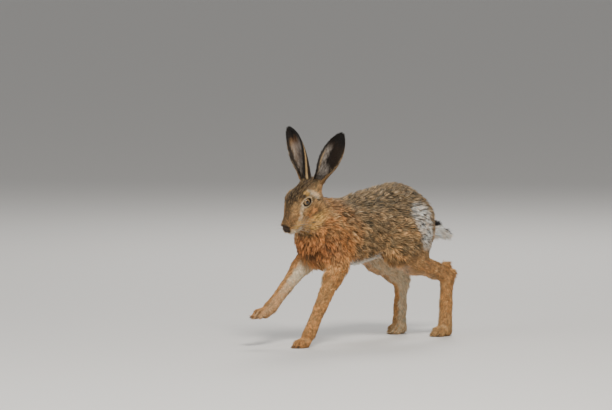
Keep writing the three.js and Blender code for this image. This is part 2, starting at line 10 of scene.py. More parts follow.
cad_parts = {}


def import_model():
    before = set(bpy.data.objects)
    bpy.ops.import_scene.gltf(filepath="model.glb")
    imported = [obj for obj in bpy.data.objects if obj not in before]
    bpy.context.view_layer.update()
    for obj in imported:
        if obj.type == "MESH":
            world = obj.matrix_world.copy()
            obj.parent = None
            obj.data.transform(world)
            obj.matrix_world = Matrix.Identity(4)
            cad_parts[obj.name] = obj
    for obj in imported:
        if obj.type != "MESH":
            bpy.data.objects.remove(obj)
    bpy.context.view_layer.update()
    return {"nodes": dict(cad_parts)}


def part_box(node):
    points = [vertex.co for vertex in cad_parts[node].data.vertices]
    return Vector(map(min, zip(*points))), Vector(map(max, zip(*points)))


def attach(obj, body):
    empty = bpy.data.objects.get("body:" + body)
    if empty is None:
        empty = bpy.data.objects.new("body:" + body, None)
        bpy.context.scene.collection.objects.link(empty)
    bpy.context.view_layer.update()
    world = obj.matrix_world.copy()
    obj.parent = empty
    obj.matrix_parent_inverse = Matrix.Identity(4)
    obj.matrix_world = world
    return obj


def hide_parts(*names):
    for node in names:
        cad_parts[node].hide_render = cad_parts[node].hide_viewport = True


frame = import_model()
scene = bpy.context.scene
MM = 0.001
SIDES = {"left": 1, "right": -1}
SEED = dict(coat=21, ears=61, lids=81, whiskers=71)

# The head's frame: x along the muzzle, z out of the crown
HEAD_PITCH = math.radians(37)
HEAD_PLACE = (136.5, 0, 250)
EYE = (1.5, 17.6, 12)
EYE_RADIUS = 8.6
EAR_ROOT = (-48.5, 15.5, 19)

# Along an ear: share of its length, half its width round the curve, half the curve's angle. Then each
# ear's length, the way it points, given as on the left, how far its cup turns out, its bow, and where
# round the cup its pale band starts.
EAR_PROFILE = (
    (0, 23, 150), (0.2, 24.5, 114), (0.42, 27, 82), (0.64, 23.5, 62), (0.8, 18, 50), (0.92, 11, 42),
    (1, 3, 30),
)
EARS = {
    "left": dict(length=98.5, way=(-0.039, 0.519, 0.854), turned=22, bow=3, band=0.3),
    "right": dict(length=107.5, way=(-0.022, 0.536, 0.844), turned=4, bow=-10, band=-0.8),
}


def arr(*values):
    return np.array(values, dtype=float)


def on_head(p, side=1):
    c, s = math.cos(HEAD_PITCH), math.sin(HEAD_PITCH)
    return arr(HEAD_PLACE[0] + p[0] * c + p[2] * s, p[1] * side, HEAD_PLACE[2] - p[0] * s + p[2] * c)


def head_way(p):
    return on_head(p) - on_head((0, 0, 0))


def in_head(points):
    c, s = math.cos(HEAD_PITCH), math.sin(HEAD_PITCH)
    q = points - arr(*HEAD_PLACE)
    return np.stack([q[:, 0] * c - q[:, 2] * s, q[:, 1], q[:, 0] * s + q[:, 2] * c], axis=1)


eye_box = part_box("eye_left")
SHIFT = (np.array(eye_box[0]) + np.array(eye_box[1])) / 2 - on_head(EYE) * MM


def world(points):
    return np.asarray(points) * MM + SHIFT


def animal(points):
    return (np.asarray(points) - SHIFT) / MM


# The skeleton, as joints
JOINT = {
    "left": dict(
        shoulder=(96, 31, 197), elbow=(83, 37, 141), wrist=(150, 34, 25), knuckle=(162, 33, 8.6),
        fingers=(184, 33, 3.4), hip=(-112, 30, 214), knee=(-60, 48, 156), hock=(-188, 48, 107),
        ball=(-184, 47, 11.6), toes=(-158, 46, 4.2),
    ),
    "right": dict(
        shoulder=(80, -30, 194), elbow=(84, -35, 154), wrist=(182, -31, 70), knuckle=(196, -30, 62),
        fingers=(226, -30, 55), hip=(-108, -30, 212), knee=(-74, -47, 160), hock=(-166, -46, 92),
        ball=(-160, -45, 11.6), toes=(-141, -44, 4.2),
    ),
}
TAIL = ((-150, 0, 199), (-202, 0, 190), (-237, 0, 178))

# Each kind of foot: where its toes start and end, and the width over them
FEET = (("knuckle", "fingers", 17), ("ball", "toes", 20))


# Studio

PHOTO = (612, 410)
MM_PER_PIXEL = 1.8
ORIGIN_PIXEL = (355.2, 340.6)
TURN = math.radians(45)
RISE = math.radians(4)
CAMERA_AWAY = 12.0
FILM = 36
LIT = (0, 0, 0.18)
FLOOR_WIDTH = 40


def camera():
    """A long lens at the photo's angle, with the photo's pixel for the animal's origin."""
    right = Vector((-math.cos(TURN), math.sin(TURN), 0))
    back = Vector((math.sin(TURN) * math.cos(RISE), math.cos(TURN) * math.cos(RISE), math.sin(RISE)))
    up = back.cross(right)
    across = (PHOTO[0] / 2 - ORIGIN_PIXEL[0]) * MM_PER_PIXEL * MM
    above = (ORIGIN_PIXEL[1] - PHOTO[1] / 2) * MM_PER_PIXEL * MM
    place = Vector(world((0, 0, 0))) + right * across + up * above + back * CAMERA_AWAY
    bpy.ops.object.camera_add()
    cam = bpy.context.object
    cam.data.sensor_width = FILM
    cam.data.lens = FILM * CAMERA_AWAY / (PHOTO[0] * MM_PER_PIXEL * MM)
    cam.data.clip_end = 100
    cam.matrix_world = Matrix.Translation(place) @ Matrix((right, up, back)).transposed().to_4x4()
    scene.camera = cam


def lamp(name, place, size, power, tint):
    bpy.ops.object.light_add(type="AREA", location=place)
    light = bpy.context.object
    light.name = name
    light.data.shape = "DISK"
    light.data.size = size
    light.data.energy = power
    light.data.color = tint
    light.rotation_euler = (Vector(LIT) - Vector(place)).to_track_quat("-Z", "Y").to_euler()


def studio():
    camera()
    lamp("key", (1.3, 2.0, 2.6), 1.0, 125, (1.0, 0.95, 0.88))
    lamp("fill", (2.6, -0.4, 1.2), 2.0, 26, (0.94, 0.97, 1.0))
    lamp("rim", (-2.0, -1.6, 2.2), 1.2, 50, (1.0, 0.98, 0.95))
    bpy.ops.mesh.primitive_plane_add(size=FLOOR_WIDTH)
    floor = bpy.context.object
    floor.name = "floor"
    paint = bpy.data.materials.new("pale floor")
    paint.use_nodes = True
    shader = paint.node_tree.nodes["Principled BSDF"]
    shader.inputs["Base Color"].default_value = (0.62, 0.61, 0.59, 1)
    shader.inputs["Roughness"].default_value = 0.8
    floor.data.materials.append(paint)
    sky = bpy.data.worlds.new("studio")
    sky.use_nodes = True
    sky.node_tree.nodes["Background"].inputs["Color"].default_value = (0.86, 0.85, 0.84, 1)
    sky.node_tree.nodes["Background"].inputs["Strength"].default_value = 0.45
    scene.world = sky


# Soft masks over points of the animal, from 0 to 1

def ease(x, low, high):
    t = np.clip((x - low) / (high - low), 0, 1)
    return t * t * (3 - 2 * t)


def near(points, centre, sizes, edge=0.45):
    """1 inside an ellipsoid, fading to 0 over the outer share of it."""
    off = np.linalg.norm((points - arr(*centre)) / arr(*sizes), axis=1)
    return 1 - ease(off, 1 - edge, 1)


def from_line(points, a, b):
    a, b = arr(*a), arr(*b)
    share = np.clip(((points - a) @ (b - a)) / ((b - a) @ (b - a)), 0, 1)
    return np.linalg.norm(points - a - share[:, None] * (b - a), axis=1)


def near_line(points, a, b, inner, outer):
    """1 closer to the line than the inner distance, 0 beyond the outer one."""
    return 1 - ease(from_line(points, a, b), inner, outer)


def groove(off, width):
    return np.exp(-((off / width) ** 2))


def waves(points, size, seed):
    """A smooth random field round 0, with patches of about the given size."""
    draw = np.random.default_rng(seed)
    total = np.zeros(len(points))
    for octave in (1.0, 1.7, 2.6):
        for _ in range(3):
            way = draw.normal(size=3)
            way *= octave * 2 * math.pi / (size * np.linalg.norm(way))
            total += np.sin(points @ way + draw.uniform(0, 6.28)) / octave
    return total / 3


def rgb(text):
    values = np.array([int(text[i : i + 2], 16) / 255 for i in (0, 2, 4)])
    return np.where(values < 0.04045, values / 12.92, ((values + 0.055) / 1.055) ** 2.4)


def blend(colours, other, mask):
    return colours + (np.asarray(other) - colours) * mask[:, None]


# The coat's colours
TINT = {
    "umber": rgb("35281b"), "grizzle": rgb("83725a"), "buff": rgb("c9a878"), "rufous": rgb("c28750"),
    "russet": rgb("a0683f"), "ochre": rgb("f2c06a"), "cream": rgb("fae6c4"), "white": rgb("fffaf0"),
    "black": rgb("14100d"), "grey": rgb("b9afa4"), "leg": rgb("d49f66"), "tan": rgb("a68458"),
    "nose": rgb("2e2623"), "brown": rgb("6b4c31"),
}

# A spot is its middle, half sizes and soft share, and a streak its ends and two half widths. The throat
# with its painted chin shadow and the rump are in the animal's frame, the others in the head's, on the
# left side.
SPOT = {
    "throat": ((130, 0, 199), (27, 34, 12), 0.65), "head": ((4, 0, 0), (74, 60, 58), 0.2),
    "cheek": ((4, 26, -9), (15, 18, 11), 0.4), "jaw": ((4, 20, -28), (40, 24, 16), 0.6),
    "muzzle side": ((42, 12, 0), (16, 12, 9), 0.5), "muzzle": ((37, 14, -16), (17, 15, 14), 0.65),
    "brow": ((-7, 20, 23), (10, 12, 5), 0.6), "nose": ((60, 0, -8), (14, 13, 13), 0.3),
    "bare nose": ((62, 0, -7), (10, 8.5, 8), 0.3), "spread hair": ((2, 0, 0), (78, 60, 62), 0.2),
}
STREAK = {
    "rump": ((-100, 68, 230), (-114, 68, 180), 10, 25), "lip": ((50, 8, -18), (32, 7, -28), 3.5, 8),
    "front": ((16, 22, 11), (31, 18, -5), 1.0, 5.5), "behind": ((-15, 20, 20), (-22, 25, 5), 3, 8),
}


def tinted(colours, name, mask):
    return blend(colours, TINT[name], mask)


def leg_share(points):
    """1 on the lower legs and the feet, fading out towards the body."""
    share = np.zeros(len(points))
    for j in JOINT.values():
        for a, b in (("elbow", "wrist"), ("wrist", "fingers"), ("hock", "ball"), ("ball", "toes")):
            share = np.maximum(share, near_line(points, j[a], j[b], 26, 42))
        share = np.maximum(share, 0.8 * near_line(points, j["knee"], j["hock"], 26, 44))
    return share


def mirrored(p):
    """The points with the right side folded onto the left."""
    return p * arr(1, 0, 1) + np.abs(p) * arr(0, 1, 0)


def toe_gaps(p):
    """1 along the lines between the toes."""
    gaps = np.zeros(len(p))
    for j in JOINT.values():
        for root, tips, spread in FEET:
            start, ahead = arr(*j[root]), arr(*j[tips]) - arr(*j[root])
            long = np.linalg.norm(ahead)
            across = np.cross(arr(0, 0, 1), ahead / long)
            off = p - start
            along = off @ ahead / long**2
            inside = ease(along, 0.25, 0.6) * (np.linalg.norm(off, axis=1) < long + 16)
            for shift in (-1 / 3, 0, 1 / 3):
                close = groove(off @ across - shift * spread, 1.3)
                gaps = np.maximum(gaps, close * inside)
    return gaps


def body_colours(p, n):
    """Colour and ticking of the coat at points p with normals n, from the back down to the feet."""
    x, y, z = p.T
    both = mirrored(p)
    colour = np.tile(TINT["grizzle"], (len(p), 1))
    tick = np.full(len(p), 0.95)
    patchy = waves(p, 30, 5)
    flank = 1 - ease(z + 8 * patchy, 185, 245)
    colour = tinted(colour, "tan", 0.6 * flank)
    tick -= 0.15 * flank
    front = ease(x - 0.35 * (z - 200) + 14 * patchy, 14, 84) * (1 - ease(z + 6 * patchy, 240, 275))
    colour = tinted(colour, "rufous", 0.85 * front)
    tick -= 0.3 * front
    streak = front * ease(waves(p * arr(1, 0.4, 0.5), 22, 6), 0.2, 0.9)
    colour = tinted(colour, "buff", 0.55 * streak)
    chest = ease(x, 66, 104) * (1 - ease(z + 8 * patchy, 178, 206))
    colour = tinted(colour, "russet", 0.7 * chest)
    belly = ease(-n[:, 2], 0.6, 0.92) * (1 - ease(x, 40, 80)) * (1 - ease(z, 160, 190))
    colour = tinted(colour, "white", belly)
    tick *= 1 - belly
    haunch = ease(-x, 70, 120) * (1 - ease(z, 140, 200))
    colour = tinted(colour, "buff", 0.45 * haunch)
    pale = near_line(both + patchy[:, None] * 3, *STREAK["rump"])
    ripple = 0.5 + 0.5 * np.sin(z * 2 * math.pi / 8.5 + 1.5 * waves(p, 40, 8) + x * 0.07)
    colour = tinted(colour, "white", 0.9 * pale)
    colour = tinted(colour, "umber", 0.85 * pale * ease(ripple, 0.6, 0.9))
    tick *= 1 - 0.8 * pale
    # Painted shadow under the chin over the throat's own dark brown: the throat is nearly black here
    throat = near(p, *SPOT["throat"])
    colour = tinted(colour, "black", 0.92 * throat)
    legs = leg_share(p) * (1 - ease(z, 130, 170))
    colour = tinted(colour, "leg", legs)
    mottle = ease(waves(p * arr(1, 1, 0.45), 11, 9), -0.1, 0.9)
    colour = tinted(colour, "brown", 0.28 * legs * mottle)
    # Painted shade: the coat darker along the gaps between the toes
    colour = tinted(colour, "umber", 0.6 * toe_gaps(p))
    inner = legs * ease(-n[:, 1] * np.sign(y), 0.15, 0.7)
    inner *= np.where(x > 0, 0.25 + 0.75 * ease(z, 80, 125), 0.9)
    colour = tinted(colour, "cream", 0.92 * inner)
    tick *= 1 - 0.5 * legs - 0.5 * inner
    low = legs * (1 - ease(z, 6, 60)) * (x < 100)
    colour = tinted(colour, "buff", 0.5 * low)
    tail = near_line(p, *TAIL[1:], 24, 34) * ease(-x, 168, 182)
    top = ease(n[:, 2] + 0.1 * patchy, 0.3, 0.7)
    colour = tinted(colour, "white", tail)
    colour = tinted(colour, "black", tail * top)
    tick *= 1 - tail
    return head_colours(p, colour, tick)


def head_colours(p, colour, tick):
    """The head's markings laid over the body's, in the head's own frame."""
    h = mirrored(in_head(p))
    hx, hy, hz = h.T
    head = near(h, *SPOT["head"])
    patchy = waves(p, 13, 11)
    rough = h + 1.6 * patchy[:, None]
    colour = tinted(colour, "tan", 0.85 * head)
    tick = tick * (1 - head) + 0.55 * head
    nape = head * (1 - ease(rough[:, 0], -46, -24)) * (1 - ease(hz, 2, 20))
    colour = tinted(colour, "rufous", 0.6 * nape)
    cheek = near(rough, *SPOT["cheek"]) * head
    colour = tinted(colour, "rufous", 0.6 * cheek)
    jaw = near(rough, *SPOT["jaw"])
    colour = tinted(colour, "ochre", 0.6 * jaw)
    crown = head * ease(hz + 3 * patchy, 17, 25) * (1 - ease(hx, 12, 44))
    colour = tinted(colour, "umber", 0.8 * crown)
    tick += 0.45 * crown
    bridge = head * (1 - ease(hy + 1.5 * patchy, 4, 13)) * ease(hz, -6, 8)
    colour = tinted(colour, "umber", 0.7 * bridge)
    side = near(rough, *SPOT["muzzle side"]) * head
    colour = tinted(colour, "brown", 0.5 * side)
    muzzle = near(rough, *SPOT["muzzle"])
    colour = tinted(colour, "ochre", 0.95 * muzzle)
    tick *= 1 - 0.7 * muzzle
    lip = near_line(rough, *STREAK["lip"]) * head
    colour = tinted(colour, "cream", 0.85 * lip)
    brow = head * near(rough, *SPOT["brow"])
    colour = tinted(colour, "ochre", 0.75 * brow)
    stripe = near_line(rough, *STREAK["front"])
    behind = near_line(rough, *STREAK["behind"])
    ring = eye_ring(h)
    around = (1 - ease(ring + 0.06 * patchy, 1.3, 1.6)) * (1 - 0.45 * ease(hz - EYE[2], 0, 5))
    faint = 0.78 + 0.3 * waves(p, 7, 14)
    pale = head * np.clip(np.maximum(around, np.maximum(0.75 * behind, 0.8 * stripe) * faint), 0, 1)
    colour = tinted(colour, "cream", 0.95 * pale)
    tick *= 1 - pale
    colour = tinted(colour, "black", head * (1 - ease(ring, 1.08, 1.25)))
    nose = near(h, *SPOT["nose"])
    colour = tinted(colour, "nose", 0.9 * nose)
    tick *= 1 - 0.8 * np.maximum(lip, nose)
    return colour, np.clip(tick, 0, 1)


# The lids' opening is an almond on the eye, its long way along the muzzle. EYE_WAY is the gaze.
LIDS = (9.2, 6.0)
EYE_WAY = (0.25, 0.96, 0.1)


def eye_axes():
    """The left eye's gaze, the way ahead across it and the way up it, in the head's frame."""
    gaze = arr(*EYE_WAY) / np.linalg.norm(EYE_WAY)
    ahead = arr(1, 0, 0) - gaze * gaze[0]
    ahead /= np.linalg.norm(ahead)
    return gaze, ahead, np.cross(ahead, gaze) * -1


def gaze_of(side):
    """The way an eye looks, on the animal."""
    x, y, z = eye_axes()[0]
    return head_way((x, 0, z)) + arr(0, y * side, 0)


def eye_ring(h):
    """How far points of the head's left side lie from the lids' opening, with 1 on its edge."""
    gaze, ahead, up = eye_axes()
    off = h - arr(*EYE)
    ring = np.hypot(off @ ahead / LIDS[0], off @ up / LIDS[1])
    return np.where(off @ gaze > -4, ring, 9)


def ear_colours(p, n, name):
    """Colour and ticking of an ear. Round its cup, 1 is the front edge and -1 the rear edge."""
    t, cup, inward = ear_place(p, name)
    inside = ease(np.sum(n * inward, axis=1), -0.2, 0.3)
    hairy = waves(p * arr(1, 1, 0.3), 5, 13)
    low = 1 - ease(t + 0.06 * hairy, 0.58, 0.76)
    start = EARS[name]["band"]
    colour = np.tile(TINT["brown"], (len(p), 1))
    colour = tinted(colour, "black", 0.9 * ease(cup + 0.1 * hairy, 0.0, 0.5))
    colour = tinted(colour, "tan", 0.5 * (1 - ease(cup, -0.9, -0.2)))
    rear = inside * (1 - ease(cup + 0.07 * hairy, start, start + 0.18))
    colour = tinted(colour, "black", 0.92 * rear)
    band = inside * ease(cup + 0.1 * hairy, start, start + 0.2) * low
    colour = tinted(colour, "grey", 0.75 * band * (0.7 + 0.45 * hairy))
    tuft = inside * near_points(t, cup, 0.12, 0.1, 0.2, 0.6)
    colour = tinted(colour, "grey", 0.7 * tuft * (0.6 + 0.4 * hairy))
    stripe = ease(cup, 0.7, 0.77) * (1 - ease(cup, 0.83, 0.9)) * (1 - ease(t, 0.4, 0.65))
    colour = tinted(colour, "black", 0.85 * ease(cup, 0.84, 0.92))
    colour = tinted(colour, "buff", 0.8 * stripe)
    edge = (1 - ease(cup, -1.05, -0.97)) * (1 - ease(t, 0.6, 0.8)) * ease(t, 0.1, 0.2)
    edge *= 1 - ease(np.abs(np.sum(n * inward, axis=1)), 0.25, 0.6)
    colour = tinted(colour, "cream", 0.95 * edge)
    colour = tinted(colour, "black", 0.97 * ease(t + 0.04 * hairy, 0.72, 0.84))
    return colour, np.full(len(p), 0.3)


def near_points(t, across, t_middle, middle, t_wide, wide):
    """1 in an oval on an ear, given along it and round its cup."""
    return 1 - ease(np.hypot((t - t_middle) / t_wide, (across - middle) / wide), 0.4, 1)


def ear_axes(name):
    ear, side = EARS[name], SIDES[name]
    way = arr(*ear["way"]) * arr(1, side, 1)
    way /= np.linalg.norm(way)
    angle = math.radians(ear["turned"])
    ahead = arr(math.cos(angle), side * math.sin(angle), 0)
    open_way = ahead - way * (ahead @ way)
    open_way /= np.linalg.norm(open_way)
    return way, open_way, np.cross(way, open_way) * -side


def ear_place(p, name):
    """Share of the ear's length, place round its cup, and the way to the middle of the cup."""
    way, open_way, front = ear_axes(name)
    off = p - on_head(EAR_ROOT, SIDES[name])
    t = off @ way / EARS[name]["length"]
    share, wide, half = np.array(EAR_PROFILE, dtype=float).T
    half = np.radians(np.interp(t, share, half))
    radius = np.interp(t, share, wide) / half
    across = off @ front + EARS[name]["bow"] * 4 * t * (1 - t)
    deep = radius - (off @ open_way + EAR_PROFILE[0][1] / math.radians(EAR_PROFILE[0][2]))
    inward = open_way * deep[:, None] - front * across[:, None]
    inward /= np.linalg.norm(inward, axis=1, keepdims=True) + 1e-9
    return t, np.arctan2(across, deep) / half, inward


# The lie of the coat. Each run of the coat goes from one place to another on the animal: which way
# its hairs lie, their length and width in mm, how far they stand up, and how many grow on a mm2.

def coat_runs():
    head = [("face", on_head((58, 0, 0)), on_head((20, 0, 20)), None, 5, 0.9, 0.24, 1.7),
            ("face", on_head((20, 0, 24)), on_head((-42, 0, 28)), None, 9, 1.1, 0.3, 1.1),
            ("face", on_head((40, 0, -27)), on_head((-10, 0, -36)), None, 8, 1.0, 0.3, 1.2)]
    for side in SIDES.values():
        head += [
            ("face", on_head((48, 10, -14), side), on_head((10, 24, -10), side), None, 6, 0.9, 0.28, 1.6),
            ("face", on_head((10, 24, -12), side), on_head((-32, 28, -8), side), None, 10, 1.1, 0.34, 1.1),
            ("face", on_head((14, 22, 14), side), on_head((-26, 24, 16), side), None, 7, 0.95, 0.3, 1.5),
        ]
    body = [
        ("neck", arr(96, 0, 262), arr(46, 0, 240), arr(-1, 0, -0.35), 13, 1.9, 0.34, 0.42),
        ("neck", arr(100, 30, 225), arr(60, 40, 205), arr(-0.85, 0, -0.55), 14, 1.9, 0.38, 0.4),
        ("neck", arr(100, -30, 225), arr(60, -40, 205), arr(-0.85, 0, -0.55), 14, 1.9, 0.38, 0.4),
        ("chest", arr(112, 0, 205), arr(98, 0, 145), arr(-0.25, 0, -1), 15, 2.0, 0.42, 0.4),
        ("flank", arr(30, 44, 200), arr(-60, 46, 200), arr(-1, 0, -0.42), 15, 2.0, 0.36, 0.36),
        ("flank", arr(30, -44, 200), arr(-60, -46, 200), arr(-1, 0, -0.42), 15, 2.0, 0.36, 0.36),
        ("back", arr(30, 0, 258), arr(-110, 0, 275), arr(-1, 0, -0.06), 14, 1.9, 0.36, 0.38),
        ("belly", arr(50, 0, 132), arr(-60, 0, 150), arr(-1, 0, -0.25), 15, 2.0, 0.34, 0.3),
        ("rump", arr(-120, 0, 270), arr(-160, 0, 210), arr(-0.5, 0, -0.9), 14, 1.9, 0.34, 0.38),
        ("tail", arr(*TAIL[0]), arr(*TAIL[2]), None, 13, 1.5, 0.42, 0.45),
    ]
    for name, side in SIDES.items():
        j = {key: arr(*place) for key, place in JOINT[name].items()}
        body += [
            ("haunch", j["hip"], j["knee"], arr(-0.72, 0, -0.7), 13, 1.9, 0.32, 0.38),
            ("chest", j["shoulder"], j["elbow"], arr(-0.35, 0, -0.94), 12, 1.8, 0.34, 0.44),
            ("leg", j["elbow"], j["wrist"], None, 9, 1.5, 0.2, 0.56),
            ("paw", j["wrist"], j["fingers"], None, 6.5, 1.05, 0.24, 1.2),
            ("leg", j["knee"], j["hock"], None, 10, 1.6, 0.22, 0.5),
            ("leg", j["hock"], j["ball"], None, 9, 1.5, 0.2, 0.56),
            ("paw", j["ball"], j["toes"], None, 6.5, 1.05, 0.24, 1.2),
        ]
    return head + body


RUNS = coat_runs()


def coat_at(p, n):
    """Lie, length, width, lift and number per mm2 of the coat at points p, and each point's run."""
    weights = np.stack([(from_line(p, a, b) + 6) ** -5.0 for _, a, b, *_ in RUNS], axis=1)
    weights /= weights.sum(axis=1, keepdims=True)
    lies = [b - a if way is None else way for _, a, b, way, *_ in RUNS]
    lies = np.array([lie / np.linalg.norm(lie) for lie in lies])
    lie = weights @ lies
    outward = np.sign(p[:, 1]) * ease(np.abs(p[:, 1]), 0, 20)
    head = near(in_head(p), *SPOT["spread hair"])
    lie[:, 1] += 0.3 * outward * head
    lie -= n * np.sum(lie * n, axis=1, keepdims=True)
    lie /= np.linalg.norm(lie, axis=1, keepdims=True) + 1e-9
    made = weights @ np.array([run[4:] for run in RUNS])
    return lie, made.T, np.argmax(weights, axis=1)


# Skin

FLESH = [name for name in frame["nodes"] if name.split("_")[0] not in ("ear", "eye")]
VOXEL = 0.0016
SWELL = 0.4
WELD = 1e-6
SKIN_SHADE = 0.6
EAR_SHADE = 0.7


def only(*chosen):
    bpy.ops.object.select_all(action="DESELECT")
    for piece in chosen:
        piece.select_set(True)
    bpy.context.view_layer.objects.active = chosen[0]


def copy_of(name, new_name):
    """A free copy of a solid, with the corners of its facets joined."""
    piece = frame["nodes"][name].copy()
    piece.data = piece.data.copy()
    piece.name = new_name
    piece.parent = None
    piece.hide_render = False
    piece.data.materials.clear()
    scene.collection.objects.link(piece)
    only(piece)
    bpy.ops.object.mode_set(mode="EDIT")
    bpy.ops.mesh.select_all(action="SELECT")
    bpy.ops.mesh.remove_doubles(threshold=WELD)
    bpy.ops.object.mode_set(mode="OBJECT")
    return piece


def apply_modifier(piece, kind, **settings):
    only(piece)
    modifier = piece.modifiers.new(kind.lower(), kind)
    for key, value in settings.items():
        setattr(modifier, key, value)
    bpy.ops.object.modifier_apply(modifier=modifier.name)


def places(mesh):
    co = np.empty(len(mesh.vertices) * 3, dtype=np.float32)
    mesh.vertices.foreach_get("co", co)
    return co.reshape(-1, 3).astype(float)


def normals(mesh):
    no = np.empty(len(mesh.vertices) * 3, dtype=np.float32)
    mesh.vertex_normals.foreach_get("vector", no)
    return no.reshape(-1, 3).astype(float)


def put(mesh, co):
    mesh.vertices.foreach_set("co", co.astype(np.float32).ravel())
    mesh.update()


def unwrap(piece):
    only(piece)
    bpy.ops.object.mode_set(mode="EDIT")
    bpy.ops.mesh.select_all(action="SELECT")
    bpy.ops.uv.smart_project(angle_limit=1.3, island_margin=0.003)
    bpy.ops.object.mode_set(mode="OBJECT")
    piece.data.uv_layers[0].name = "OFBake"


def paint_points(mesh, colours, name="Coat"):
    layer = mesh.color_attributes.new(name, "FLOAT_COLOR", "POINT")
    rgba = np.ones((len(mesh.vertices), 4), dtype=np.float32)
    rgba[:, :3] = colours
    layer.data.foreach_set("color", rgba.ravel())


def inset_depth(p, n):
    """How far the skin lies below the solids, so that the coat's tips reach their outline."""
    _, (length, _, lift, _), _ = coat_at(p, n)
    return length * lift * 0.8


def body_skin():
    """One skin over all the flesh. The solids swell a little first, so that their gaps close."""
    copies = [copy_of(name, f"skin_{name}") for name in FLESH]
    for piece in copies:
        put(piece.data, places(piece.data) + normals(piece.data) * SWELL * MM)
    only(*copies)
    bpy.ops.object.join()
    skin = bpy.context.object
    skin.name = "skin"
    apply_modifier(skin, "REMESH", mode="VOXEL", voxel_size=VOXEL)
    apply_modifier(skin, "SMOOTH", factor=0.5, iterations=5)
    co, no = places(skin.data), normals(skin.data)
    depth = inset_depth(animal(co), no)
    put(skin.data, co - no * depth[:, None] * MM)
    apply_modifier(skin, "SMOOTH", factor=0.5, iterations=2)
    shape_face(skin.data)
    bpy.ops.object.shade_smooth()
    colour, _ = body_colours(animal(places(skin.data)), normals(skin.data))
    paint_points(skin.data, colour * SKIN_SHADE)
    unwrap(skin)
    return skin


# The mouth's height, a nostril's place across and up, and how deep each groove is pressed
MOUTH = -19
NOSTRIL = (6.5, -5)
PRESS = dict(mouth=1.4, cleft=1.6, nostril=2.4, toes=2.2)


def shape_face(mesh):
    """Presses the mouth line, the cleft, the nostrils, the toes' gaps and the sockets into the skin."""
    co, no = places(mesh), normals(mesh)
    h = in_head(animal(co))
    hx, hy, hz = h[:, 0], np.abs(h[:, 1]), h[:, 2]
    line = MOUTH + 0.02 * (hx - 40)
    mouth = groove(hz - line, 1.3) * ease(hx, 31, 39)
    cleft = groove(hy, 1.2) * ease(hx, 49, 53) * ease(-hz, 6, 9) * (1 - ease(-hz, 18, 20))
    out, above = hy - NOSTRIL[0], hz - NOSTRIL[1]
    nostril = groove(np.abs(above * 0.8 + out * 0.55), 1.2) * (1 - ease(np.abs(out), 2.6, 4.8))
    nostril *= ease(hx, 48, 51) * (1 - ease(np.abs(above), 3, 5))
    press = PRESS["mouth"] * mouth + PRESS["cleft"] * cleft + PRESS["nostril"] * nostril
    press += PRESS["toes"] * toe_gaps(animal(co))
    put(mesh, with_sockets(co - no * press[:, None] * MM))


def with_sockets(co):
    """The skin's points, with those inside the lids sunk behind the face of the eyes."""
    for side in SIDES.values():
        flipped = in_head(animal(co)) * arr(1, side, 1)
        sunk = (flipped - arr(*EYE)) @ eye_axes()[0] - 1.5
        sunk = np.clip(sunk, 0, 12) * (1 - ease(eye_ring(flipped), 1.2, 1.45))
        co = co - gaze_of(side) * (sunk * MM)[:, None]
    return co


def ear_skin(name):
    """An ear's skin, with its root sunk into the head."""
    ear = copy_of(f"ear_{name}", f"ear_skin_{name}")
    apply_modifier(ear, "SUBSURF", levels=2, render_levels=2)
    co = places(ear.data)
    t, _, _ = ear_place(animal(co), name)
    sunk = ear_axes(name)[0] * (8 * (1 - ease(t, 0.0, 0.06)))[:, None]
    put(ear.data, co - sunk * MM)
    bpy.ops.object.shade_smooth()
    p = animal(places(ear.data))
    colour, _ = ear_colours(p, normals(ear.data), name)
    paint_points(ear.data, colour * EAR_SHADE)
    unwrap(ear)
    return ear


# Tufts

def triangles_of(mesh):
    mesh.calc_loop_triangles()
    count = len(mesh.loop_triangles)
    corners = np.empty(count * 3, dtype=np.int32)
    loops = np.empty(count * 3, dtype=np.int32)
    mesh.loop_triangles.foreach_get("vertices", corners)
    mesh.loop_triangles.foreach_get("loops", loops)
    uv = np.empty(len(mesh.loops) * 2, dtype=np.float32)
    mesh.uv_layers["OFBake"].data.foreach_get("uv", uv)
    return corners.reshape(-1, 3), uv.reshape(-1, 2)[loops.reshape(-1, 3)]


def sown(mesh, number_at, draw):
    """Roots spread over a skin: their places, normals and places on its unwrap."""
    corners, uv = triangles_of(mesh)
    co, no = places(mesh), normals(mesh)
    a, b, c = (co[corners[:, i]] for i in range(3))
    area = np.linalg.norm(np.cross(b - a, c - a), axis=1) / 2 / MM**2
    middle = (a + b + c) / 3
    want = area * number_at(animal(middle), no[corners].mean(axis=1))
    count = np.floor(want + draw.random(len(want))).astype(int)
    pick = np.repeat(np.arange(len(want)), count)
    share = draw.random((len(pick), 2))
    share = np.where(share.sum(axis=1, keepdims=True) > 1, 1 - share, share)
    share = np.column_stack([1 - share.sum(axis=1), share])
    root = np.einsum("ij,ijk->ik", share, co[corners[pick]])
    normal = np.einsum("ij,ijk->ik", share, no[corners[pick]])
    normal /= np.linalg.norm(normal, axis=1, keepdims=True)
    return root, normal, np.einsum("ij,ijk->ik", share, uv[pick])


# A long tuft has three rings of corners below its tip and a short one has two. PATCH is a tuft's width
# on the unwrap, SINK how deep its root lies in the skin, in mm, and the shades run from root to tip.
LONG = dict(along=(0, 0.36, 0.7), wide=(0.8, 1.0, 0.62))
SHORT = dict(along=(0, 0.5), wide=(1.0, 0.75))
PATCH = 0.003
SINK = 1.2
FLOOR_GAP = 0.0002
ROOT_SHADE, TIP_GAIN = 0.42, 0.75


def tuft_faces(form):
    """The triangles of one tuft: its foot, its walls and its tip."""
    top = (len(form["along"]) - 1) * 3
    faces = [(0, 2, 1)]
    for ring in range(0, top, 3):
        for i in range(3):
            a, b = ring + i, ring + (i + 1) % 3
            faces += [(a, b, b + 3), (a, b + 3, a + 3)]
    return np.array(faces + [(top + i, top + (i + 1) % 3, top + 3) for i in range(3)])


